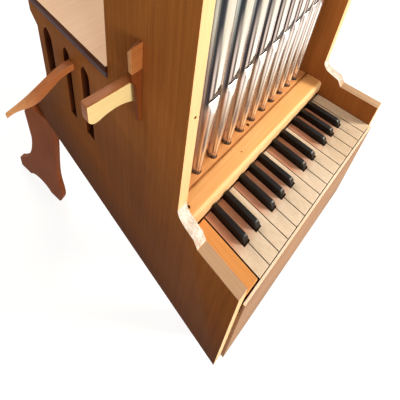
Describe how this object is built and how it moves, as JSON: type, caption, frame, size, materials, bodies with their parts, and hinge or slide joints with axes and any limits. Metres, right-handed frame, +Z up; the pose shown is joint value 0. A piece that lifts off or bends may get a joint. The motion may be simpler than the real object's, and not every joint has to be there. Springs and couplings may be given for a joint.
{
  "type": "pipe organ",
  "caption": "Small wooden positive organ with a short keyboard, rows of metal pipes in a tall case, a lidded rear box with lancet openings and its own stand.",
  "frame": {"origin": "centre of the footprint on the floor", "axes": "+X towards the treble end, +Y away from the player, +Z up"},
  "size_m": [0.6794, 0.75, 1.268],
  "materials": {
    "case_wood": "clear varnish, satin",
    "pale_wood": "clear varnish, satin",
    "lid_wood": "clear varnish, satin",
    "seal": "soft, matt",
    "stand_wood": "clear varnish, satin",
    "pipe_metal": "polished pipe metal",
    "natural_wood": "oiled, close grained",
    "sharp_wood": "polished black"
  },
  "bodies": {
    "organ": {"left_side_board": "case_wood", "right_side_board": "case_wood", "front_panel": "case_wood", "floor_board": "case_wood", "key_bed": "case_wood", "key_hinge_rail": "case_wood", "case_back": "case_wood", "rear_panel": "case_wood", "case_roof": "case_wood", "front_rail": "pale_wood", "wind_chest": "pale_wood", "key_slip": "pale_wood", "left_key_block": "pale_wood", "front_crossboard": "case_wood", "rear_crossboard": "case_wood", "left_wedge": "case_wood", "right_wedge": "case_wood", "rear_lid": "lid_wood", "lid_seal": "seal", "stand_rail": "stand_wood", "rear_left_leg": "stand_wood", "rear_right_leg": "stand_wood", "front_trestle": "stand_wood", "centre_stretcher": "stand_wood", "front_pipes": "pipe_metal", "middle_pipes": "pipe_metal"},
    "natural_01": {"natural_01": "natural_wood"},
    "sharp_01": {"sharp_01": "sharp_wood"},
    "natural_02": {"natural_02": "natural_wood"},
    "sharp_02": {"sharp_02": "sharp_wood"},
    "natural_03": {"natural_03": "natural_wood"},
    "natural_04": {"natural_04": "natural_wood"},
    "sharp_03": {"sharp_03": "sharp_wood"},
    "natural_05": {"natural_05": "natural_wood"},
    "sharp_04": {"sharp_04": "sharp_wood"},
    "natural_06": {"natural_06": "natural_wood"},
    "sharp_05": {"sharp_05": "sharp_wood"},
    "natural_07": {"natural_07": "natural_wood"},
    "natural_08": {"natural_08": "natural_wood"},
    "sharp_06": {"sharp_06": "sharp_wood"},
    "natural_09": {"natural_09": "natural_wood"},
    "sharp_07": {"sharp_07": "sharp_wood"},
    "natural_10": {"natural_10": "natural_wood"},
    "natural_11": {"natural_11": "natural_wood"},
    "sharp_08": {"sharp_08": "sharp_wood"},
    "natural_12": {"natural_12": "natural_wood"},
    "sharp_09": {"sharp_09": "sharp_wood"},
    "natural_13": {"natural_13": "natural_wood"},
    "sharp_10": {"sharp_10": "sharp_wood"},
    "natural_14": {"natural_14": "natural_wood"},
    "natural_15": {"natural_15": "natural_wood"}
  },
  "joints": [
    {"name": "natural_01_press", "type": "hinge", "parent": "organ", "child": "natural_01", "pos_m": [-0.146, -0.173, 0.63], "axis": [1, 0, 0], "range_deg": [0, 2.3], "stiffness_Nm_per_rad": 1, "springref_deg": -11.46},
    {"name": "sharp_01_press", "type": "hinge", "parent": "organ", "child": "sharp_01", "pos_m": [-0.13675, -0.173, 0.63], "axis": [1, 0, 0], "range_deg": [0, 2.3], "stiffness_Nm_per_rad": 1, "springref_deg": -11.46},
    {"name": "natural_02_press", "type": "hinge", "parent": "organ", "child": "natural_02", "pos_m": [-0.1225, -0.173, 0.63], "axis": [1, 0, 0], "range_deg": [0, 2.3], "stiffness_Nm_per_rad": 1, "springref_deg": -11.46},
    {"name": "sharp_02_press", "type": "hinge", "parent": "organ", "child": "sharp_02", "pos_m": [-0.10825, -0.173, 0.63], "axis": [1, 0, 0], "range_deg": [0, 2.3], "stiffness_Nm_per_rad": 1, "springref_deg": -11.46},
    {"name": "natural_03_press", "type": "hinge", "parent": "organ", "child": "natural_03", "pos_m": [-0.099, -0.173, 0.63], "axis": [1, 0, 0], "range_deg": [0, 2.3], "stiffness_Nm_per_rad": 1, "springref_deg": -11.46},
    {"name": "natural_04_press", "type": "hinge", "parent": "organ", "child": "natural_04", "pos_m": [-0.0755, -0.173, 0.63], "axis": [1, 0, 0], "range_deg": [0, 2.3], "stiffness_Nm_per_rad": 1, "springref_deg": -11.46},
    {"name": "sharp_03_press", "type": "hinge", "parent": "organ", "child": "sharp_03", "pos_m": [-0.06725, -0.173, 0.63], "axis": [1, 0, 0], "range_deg": [0, 2.3], "stiffness_Nm_per_rad": 1, "springref_deg": -11.46},
    {"name": "natural_05_press", "type": "hinge", "parent": "organ", "child": "natural_05", "pos_m": [-0.052, -0.173, 0.63], "axis": [1, 0, 0], "range_deg": [0, 2.3], "stiffness_Nm_per_rad": 1, "springref_deg": -11.46},
    {"name": "sharp_04_press", "type": "hinge", "parent": "organ", "child": "sharp_04", "pos_m": [-0.04025, -0.173, 0.63], "axis": [1, 0, 0], "range_deg": [0, 2.3], "stiffness_Nm_per_rad": 1, "springref_deg": -11.46},
    {"name": "natural_06_press", "type": "hinge", "parent": "organ", "child": "natural_06", "pos_m": [-0.0285, -0.173, 0.63], "axis": [1, 0, 0], "range_deg": [0, 2.3], "stiffness_Nm_per_rad": 1, "springref_deg": -11.46},
    {"name": "sharp_05_press", "type": "hinge", "parent": "organ", "child": "sharp_05", "pos_m": [-0.01325, -0.173, 0.63], "axis": [1, 0, 0], "range_deg": [0, 2.3], "stiffness_Nm_per_rad": 1, "springref_deg": -11.46},
    {"name": "natural_07_press", "type": "hinge", "parent": "organ", "child": "natural_07", "pos_m": [-0.005, -0.173, 0.63], "axis": [1, 0, 0], "range_deg": [0, 2.3], "stiffness_Nm_per_rad": 1, "springref_deg": -11.46},
    {"name": "natural_08_press", "type": "hinge", "parent": "organ", "child": "natural_08", "pos_m": [0.0185, -0.173, 0.63], "axis": [1, 0, 0], "range_deg": [0, 2.3], "stiffness_Nm_per_rad": 1, "springref_deg": -11.46},
    {"name": "sharp_06_press", "type": "hinge", "parent": "organ", "child": "sharp_06", "pos_m": [0.02775, -0.173, 0.63], "axis": [1, 0, 0], "range_deg": [0, 2.3], "stiffness_Nm_per_rad": 1, "springref_deg": -11.46},
    {"name": "natural_09_press", "type": "hinge", "parent": "organ", "child": "natural_09", "pos_m": [0.042, -0.173, 0.63], "axis": [1, 0, 0], "range_deg": [0, 2.3], "stiffness_Nm_per_rad": 1, "springref_deg": -11.46},
    {"name": "sharp_07_press", "type": "hinge", "parent": "organ", "child": "sharp_07", "pos_m": [0.05625, -0.173, 0.63], "axis": [1, 0, 0], "range_deg": [0, 2.3], "stiffness_Nm_per_rad": 1, "springref_deg": -11.46},
    {"name": "natural_10_press", "type": "hinge", "parent": "organ", "child": "natural_10", "pos_m": [0.0655, -0.173, 0.63], "axis": [1, 0, 0], "range_deg": [0, 2.3], "stiffness_Nm_per_rad": 1, "springref_deg": -11.46},
    {"name": "natural_11_press", "type": "hinge", "parent": "organ", "child": "natural_11", "pos_m": [0.089, -0.173, 0.63], "axis": [1, 0, 0], "range_deg": [0, 2.3], "stiffness_Nm_per_rad": 1, "springref_deg": -11.46},
    {"name": "sharp_08_press", "type": "hinge", "parent": "organ", "child": "sharp_08", "pos_m": [0.09725, -0.173, 0.63], "axis": [1, 0, 0], "range_deg": [0, 2.3], "stiffness_Nm_per_rad": 1, "springref_deg": -11.46},
    {"name": "natural_12_press", "type": "hinge", "parent": "organ", "child": "natural_12", "pos_m": [0.1125, -0.173, 0.63], "axis": [1, 0, 0], "range_deg": [0, 2.3], "stiffness_Nm_per_rad": 1, "springref_deg": -11.46},
    {"name": "sharp_09_press", "type": "hinge", "parent": "organ", "child": "sharp_09", "pos_m": [0.12425, -0.173, 0.63], "axis": [1, 0, 0], "range_deg": [0, 2.3], "stiffness_Nm_per_rad": 1, "springref_deg": -11.46},
    {"name": "natural_13_press", "type": "hinge", "parent": "organ", "child": "natural_13", "pos_m": [0.136, -0.173, 0.63], "axis": [1, 0, 0], "range_deg": [0, 2.3], "stiffness_Nm_per_rad": 1, "springref_deg": -11.46},
    {"name": "sharp_10_press", "type": "hinge", "parent": "organ", "child": "sharp_10", "pos_m": [0.15125, -0.173, 0.63], "axis": [1, 0, 0], "range_deg": [0, 2.3], "stiffness_Nm_per_rad": 1, "springref_deg": -11.46},
    {"name": "natural_14_press", "type": "hinge", "parent": "organ", "child": "natural_14", "pos_m": [0.1595, -0.173, 0.63], "axis": [1, 0, 0], "range_deg": [0, 2.3], "stiffness_Nm_per_rad": 1, "springref_deg": -11.46},
    {"name": "natural_15_press", "type": "hinge", "parent": "organ", "child": "natural_15", "pos_m": [0.183, -0.173, 0.63], "axis": [1, 0, 0], "range_deg": [0, 2.3], "stiffness_Nm_per_rad": 1, "springref_deg": -11.46}
  ]
}
